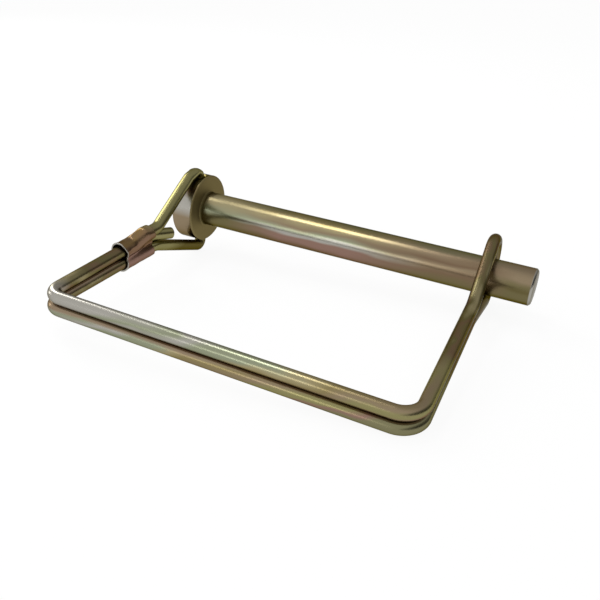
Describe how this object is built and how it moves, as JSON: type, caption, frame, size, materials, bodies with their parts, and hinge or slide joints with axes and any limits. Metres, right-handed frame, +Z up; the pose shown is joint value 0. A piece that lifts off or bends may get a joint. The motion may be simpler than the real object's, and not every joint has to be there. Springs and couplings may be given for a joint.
{
  "type": "snapper pin",
  "caption": "Headed locking pin with a hinged square bail of doubled spring wire that snaps closed over the tip, held by a crimped sheet ferrule.",
  "frame": {"origin": "on the shaft's axis, in the plane of the head's seating face", "axes": "+X along the shaft from the head to the tip, -Y towards the bail, +Z up with the part lying at rest"},
  "size_m": [0.101, 0.0769, 0.0261],
  "materials": {
    "pin": "yellow zinc plated",
    "bail_wire": "yellow zinc plated",
    "ferrule": "yellow zinc plated"
  },
  "bodies": {
    "pin": {"pin": "pin"},
    "bail": {"bail_wire": "bail_wire", "ferrule": "ferrule"}
  },
  "joints": [
    {"name": "bail_swing", "type": "hinge", "parent": "pin", "child": "bail", "pos_m": [-0.00315, 0, 0], "axis": [0, 0.0906, -0.9959], "range_deg": [0, 254], "deforming": ["bail_wire"]}
  ]
}
